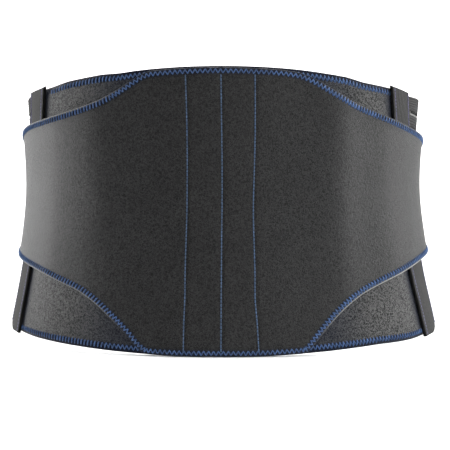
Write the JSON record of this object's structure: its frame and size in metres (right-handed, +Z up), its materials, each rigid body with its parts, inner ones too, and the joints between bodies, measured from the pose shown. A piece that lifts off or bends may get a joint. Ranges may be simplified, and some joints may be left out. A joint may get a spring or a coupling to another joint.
{
  "type": "back support belt",
  "caption": "Contoured lumbar support belt with an outer panel that narrows into side straps, stitched edges, openwork elastic sides and a front closure.",
  "frame": {"origin": "centre of the closed belt's box, at the floor that its lower edge stands on", "axes": "+Z up the wearer's back, the back panel towards -Y, the front closure towards +Y, +X to the wearer's right"},
  "size_m": [0.3598, 0.2572, 0.209],
  "materials": {
    "neoprene": "charcoal looped face on neoprene, matt, with blue edge stitching",
    "elastic": "dark grey ribbed elastic, matt",
    "strip": "dark grey woven strip, matt",
    "hook": "black hook tape"
  },
  "bodies": {
    "root": {"back_panel": "neoprene", "outer_panel": "neoprene", "side_strip_left": "strip", "side_strip_right": "strip", "elastic_side_left": "elastic", "elastic_side_right": "elastic", "front_panel_left": "neoprene", "front_panel_right": "neoprene", "front_hook": "hook", "strap_hook_left": "hook", "strap_hook_right": "hook"}
  },
  "joints": []
}
